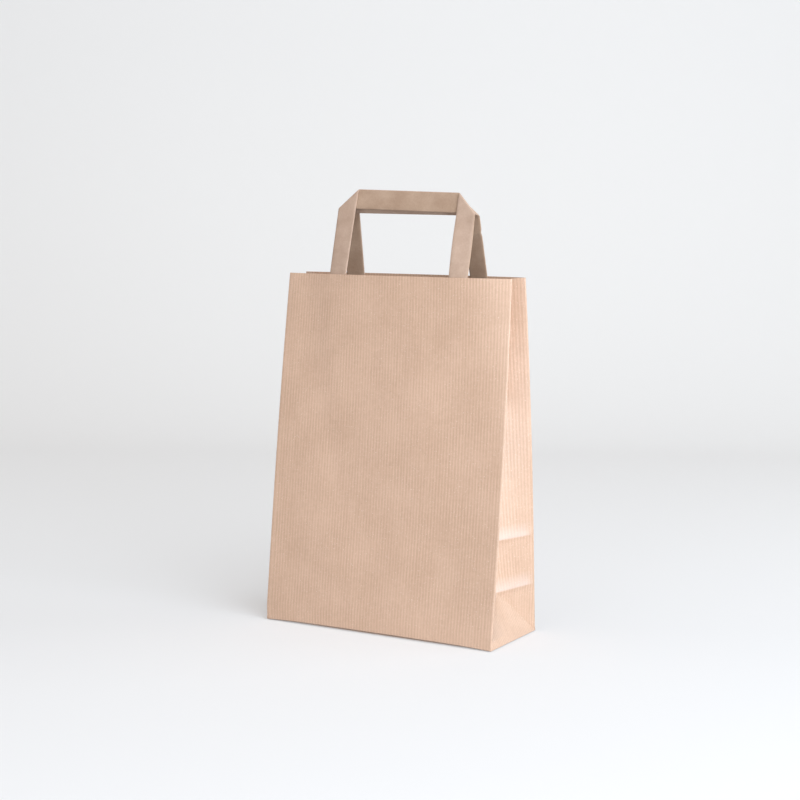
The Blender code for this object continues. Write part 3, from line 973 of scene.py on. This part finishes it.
def white_card():
    material = bpy.data.materials.new("white_card")
    material.use_nodes = True
    tree = material.node_tree
    shader = tree.nodes["Principled BSDF"]
    spot = add_node(material, "ShaderNodeUVMap", {"uv_map": "away"}).outputs["UV"]
    split = add_node(material, "ShaderNodeSeparateXYZ", inputs={"Vector": spot})
    walls = {"Value": split.outputs["Y"], "From Min": 0.0, "From Max": WALL_TONE_FROM}
    level = add_node(material, "ShaderNodeMapRange", inputs=walls).outputs[0]
    tones = {MIX_SHARE: level, MIX_FIRST: linear(CARD_FLOOR), MIX_SECOND: linear(CARD_WALL)}
    bright = add_node(material, "ShaderNodeMix", COLOUR_MIX, tones).outputs[MIXED]
    seen = seen_itself(material)
    looks = {MIX_SHARE: seen, MIX_FIRST: linear(CARD_BOUNCE), MIX_SECOND: bright}
    shown = add_node(material, "ShaderNodeMix", COLOUR_MIX, looks).outputs[MIXED]

    place = add_node(material, "ShaderNodeTexCoord").outputs["Object"]
    spread = add_node(material, "ShaderNodeVectorMath", {"operation": "LENGTH"}, {0: place})
    far_out = {"Value": spread.outputs["Value"], "From Min": DISTANT_START, "From Max": DISTANT_END}
    distant = add_node(material, "ShaderNodeMapRange", inputs={**far_out, "To Max": DISTANT_GLOW})
    off_the_wall = {0: level, 1: -DISTANT_GLOW, 2: distant.outputs[0]}
    distant = add_node(material, "ShaderNodeMath", TIMES_PLUS, off_the_wall)
    positive = {0: distant.outputs[0], 1: 0.0}
    distant = add_node(material, "ShaderNodeMath", {"operation": "MAXIMUM"}, positive)
    both = {0: distant.outputs[0], 1: CARD_GLOW}
    whole = add_node(material, "ShaderNodeMath", {"operation": "ADD"}, both)
    glow = add_node(material, "ShaderNodeMath", TIMES, {0: seen, 1: whole.outputs[0]})

    tree.links.new(shown, shader.inputs["Base Color"])
    tree.links.new(glow.outputs[0], shader.inputs["Emission Strength"])
    shader.inputs["Emission Color"].default_value = linear("#FFFFFF")
    shader.inputs["Roughness"].default_value = 0.9
    shader.inputs["Specular IOR Level"].default_value = 0.1
    return material


def make_card():
    bm = bmesh.new()
    profile = [(CARD_FRONT, 0.0), (CARD_BEND_START, 0.0)]
    for step in range(1, CARD_BEND_STEPS + 1):
        angle = math.pi / 2 * step / CARD_BEND_STEPS
        y = CARD_BEND_START + CARD_BEND_RADIUS * math.sin(angle)
        profile.append((y, CARD_BEND_RADIUS * (1 - math.cos(angle))))
    profile.append((CARD_BEND_START + CARD_BEND_RADIUS, CARD_TOP))
    turn = Matrix.Rotation(VIEW_TURN, 4, "Z")
    sides = []
    for x in (-CARD_HALF_WIDTH, CARD_HALF_WIDTH):
        sides.append([bm.verts.new(turn @ Vector((x, y, z))) for y, z in profile])
    away = bm.loops.layers.uv.new("away")
    for k in range(len(profile) - 1):
        face = bm.faces.new((sides[0][k], sides[1][k], sides[1][k + 1], sides[0][k + 1]))
        near = profile[k][0] + profile[k][1]
        far = profile[k + 1][0] + profile[k + 1][1]
        for loop, distance in zip(face.loops, (near, near, far, far)):
            loop[away].uv = (0.0, distance)
    mesh = bpy.data.meshes.new("card")
    bm.to_mesh(mesh)
    bm.free()
    mesh.shade_smooth()
    mesh.materials.append(white_card())
    card = bpy.data.objects.new("card", mesh)
    bpy.context.collection.objects.link(card)


make_card()


# Light
# Even daylight from all round and from the ceiling, and a broad soft window to the right of the bag
# with a low one beside it. A white board in front is what the upper gusset mirrors, and a small
# window behind lights the edges.

LAMP_AIM = Vector((0.0, 0.0, 0.15))


def add_lamp(name, place, size, power, colour):
    data = bpy.data.lights.new(name, "AREA")
    data.shape = "SQUARE"
    data.size = size
    data.energy = power
    data.color = colour
    lamp = bpy.data.objects.new(name, data)
    lamp.location = place
    lamp.rotation_euler = (LAMP_AIM - Vector(place)).to_track_quat("-Z", "Y").to_euler()
    bpy.context.collection.objects.link(lamp)


# Name, place, size, power in watts and colour
LAMPS = (
    ("window", (1.62, -0.86, 1.10), 2.2, 56.0, (0.885, 0.968, 1.04)),
    ("ceiling", (-0.2, -0.3, 1.9), 1.8, 10.0, (1.0, 0.96, 0.91)),
    ("window_behind", (1.35, 0.85, 0.75), 1.0, 6.0, (0.80, 0.93, 1.0)),
    ("low_window", (1.45, -1.0, 0.28), 0.5, 7.5, (0.80, 0.94, 1.0)),
    ("white_board", (0.15, -1.7, 0.30), 0.45, 2.8, (0.95, 0.98, 1.0)),
)
for name, place, size, power, colour in LAMPS:
    add_lamp(name, place, size, power, colour)

# The room gives warm light, and the eye sees it as a pale wall
ROOM_LIGHT = 0.31
ROOM_LIT = (ROOM_LIGHT, 0.96 * ROOM_LIGHT, 0.89 * ROOM_LIGHT, 1.0)
ROOM_SHOWN = "#ECECEE"

world = bpy.data.worlds.new("room")
bpy.context.scene.world = world
world.use_nodes = True
looks = {MIX_SHARE: seen_itself(world), MIX_FIRST: ROOM_LIT, MIX_SECOND: linear(ROOM_SHOWN)}
shown = add_node(world, "ShaderNodeMix", COLOUR_MIX, looks)
background = world.node_tree.nodes["Background"]
world.node_tree.links.new(shown.outputs[MIXED], background.inputs["Color"])


# Camera
# A long lens a metre and a half away, a little above the table and to the right of the front.

CAMERA_RISE = math.radians(7.817)
CAMERA_DISTANCE = 1.4672
CAMERA_PAN = math.radians(-0.066)
CAMERA_TILT = math.radians(1.748)
CAMERA_ROLL = math.radians(0.591)
AIM_HEIGHT = 0.1525
LENS_MM = 76.5
SENSOR_MM = 36.0

back = Vector((
    math.sin(VIEW_TURN) * math.cos(CAMERA_RISE),
    -math.cos(VIEW_TURN) * math.cos(CAMERA_RISE),
    math.sin(CAMERA_RISE),
))
right = (-back).cross(Vector((0.0, 0.0, 1.0))).normalized()
up = right.cross(-back)
forward = -back * math.cos(CAMERA_PAN) + right * math.sin(CAMERA_PAN)
right = forward.cross(up).normalized()
up = right.cross(forward)
ahead = forward * math.cos(CAMERA_TILT) + up * math.sin(CAMERA_TILT)
up = right.cross(ahead)
across = right * math.cos(CAMERA_ROLL) + up * math.sin(CAMERA_ROLL)
up = up * math.cos(CAMERA_ROLL) - right * math.sin(CAMERA_ROLL)

data = bpy.data.cameras.new("camera")
data.lens = LENS_MM
data.sensor_width = SENSOR_MM
camera = bpy.data.objects.new("camera", data)
place = Vector((0.0, 0.0, AIM_HEIGHT)) + back * CAMERA_DISTANCE
turn = Matrix((across, up, -ahead)).transposed().to_4x4()
camera.matrix_world = Matrix.Translation(place) @ turn
bpy.context.collection.objects.link(camera)
bpy.context.scene.camera = camera
bpy.context.scene.view_settings.view_transform = "Standard"
